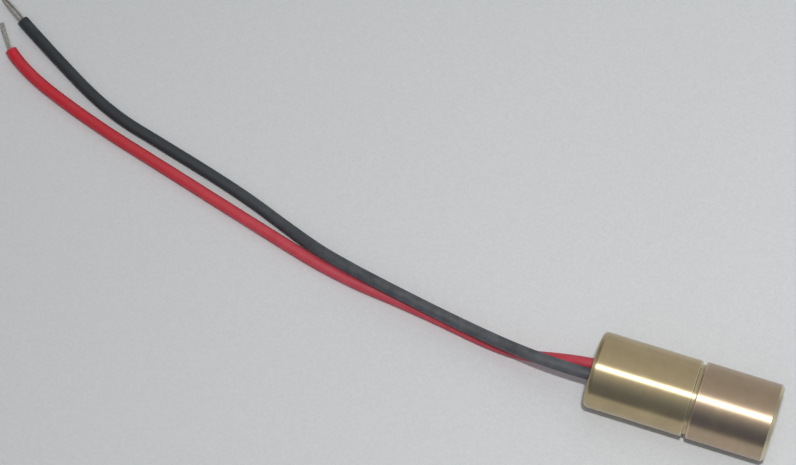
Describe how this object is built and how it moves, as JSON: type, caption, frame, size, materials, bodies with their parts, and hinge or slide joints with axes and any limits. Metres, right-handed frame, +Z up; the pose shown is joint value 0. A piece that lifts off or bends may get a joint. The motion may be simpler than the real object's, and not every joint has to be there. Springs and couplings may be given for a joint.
{
  "type": "laser diode module",
  "caption": "Cylindrical brass laser diode module with a screwed focusing cap and two bare-ended flying leads.",
  "frame": {"origin": "middle of the module's length on the optical axis, one cap radius above the bench it lies on", "axes": "+X along the optical axis the way the beam leaves, +Z up as it lies on its side with its leads on the bench"},
  "size_m": [0.1027, 0.0293, 0.009],
  "materials": {
    "barrel_brass": "turned, satin",
    "cap_brass": "turned, satin, rosier alloy",
    "lens_acrylic": "moulded clear acrylic",
    "spring_steel": "drawn steel wire",
    "gilt_steel": "gold-plated steel",
    "gilt_copper": "gold-plated copper",
    "seal_glass": "dark sealing glass",
    "window_glass": "clear glass",
    "white_ceramic": "fired ceramic",
    "semiconductor": "polished crystal",
    "board_green": "glass-fibre board with solder mask",
    "resistor_black": "glazed",
    "capacitor_tan": "fired ceramic",
    "moulded_black": "moulded resin",
    "tinned_copper": "tinned copper strand",
    "solder": "bright solder",
    "potting_resin": "cast resin",
    "red_insulation": "extruded vinyl",
    "black_insulation": "extruded vinyl"
  },
  "bodies": {
    "module": {"rear_housing": "barrel_brass", "focus_spring": "spring_steel", "diode_stem": "gilt_steel", "pin_seals": "seal_glass", "laser_pin": "gilt_steel", "monitor_pin": "gilt_steel", "case_pin": "gilt_steel", "diode_can": "gilt_steel", "diode_window": "window_glass", "heat_post": "gilt_copper", "laser_submount": "white_ceramic", "laser_chip": "semiconductor", "monitor_photodiode": "semiconductor", "driver_board": "board_green", "series_resistor": "resistor_black", "feedback_resistor": "resistor_black", "filter_capacitor": "capacitor_tan", "drive_transistor": "moulded_black", "transistor_legs": "tinned_copper", "solder_joints": "solder", "rear_potting": "potting_resin", "red_lead": "red_insulation", "black_lead": "black_insulation", "red_lead_tip": "tinned_copper", "black_lead_tip": "tinned_copper", "red_lead_tail": "tinned_copper", "black_lead_tail": "tinned_copper"},
    "lens_carriage": {"collimating_lens": "lens_acrylic"},
    "focusing_cap": {"front_cap": "cap_brass"}
  },
  "joints": [
    {"name": "focus_travel", "type": "slide", "parent": "module", "child": "lens_carriage", "axis": [1, 0, 0], "range_m": [-0.0004, 0.0015], "deforming": ["focus_spring"]},
    {"name": "focus_turn", "type": "hinge", "parent": "lens_carriage", "child": "focusing_cap", "pos_m": [0.006, 0, 0], "axis": [1, 0, 0], "range_deg": [-288.5, 1080.5]}
  ],
  "couplings": [
    {"joint": "focus_turn", "follows": "focus_travel", "rad_per_m": 12566}
  ]
}
